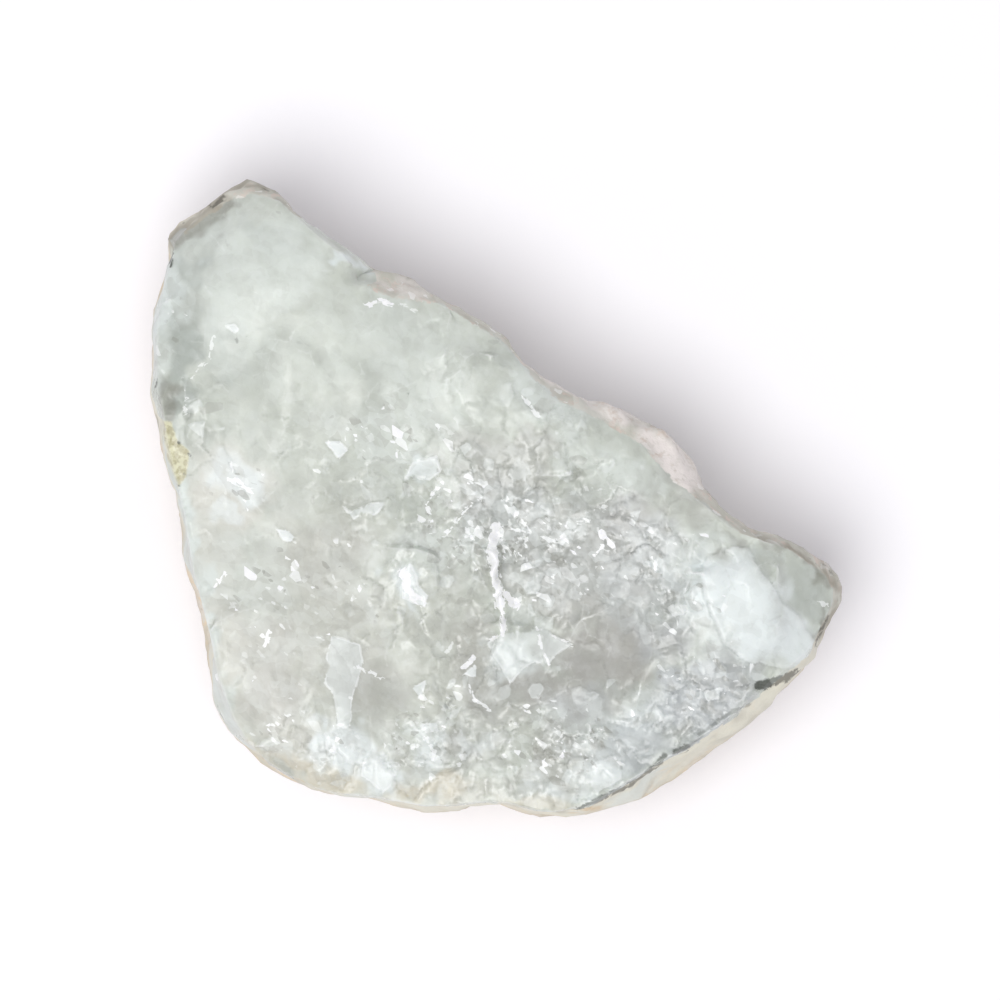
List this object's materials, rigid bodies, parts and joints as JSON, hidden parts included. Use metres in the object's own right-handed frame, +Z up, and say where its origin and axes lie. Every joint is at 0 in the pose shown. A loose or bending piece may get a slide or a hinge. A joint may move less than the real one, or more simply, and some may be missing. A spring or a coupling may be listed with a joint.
{
  "type": "quartz geode piece",
  "caption": "Broken piece of a quartz geode: a rough break of milky quartz facets above a lumpy rounded skin, with a straight older break along the side; rests on a worn flat.",
  "frame": {"origin": "under the middle of the bounding box, on the surface that the piece rests on", "axes": "+X along the long side of the piece, +Y towards the straight side, +Z up through the fresh break"},
  "size_m": [0.097, 0.063, 0.0338],
  "materials": {
    "milky_quartz": "glassy broken facets, cloudy white with grey-green windows; thin cream, peach and tan skin round the edge"
  },
  "bodies": {
    "root": {"quartz_geode_piece": "milky_quartz"}
  },
  "joints": []
}
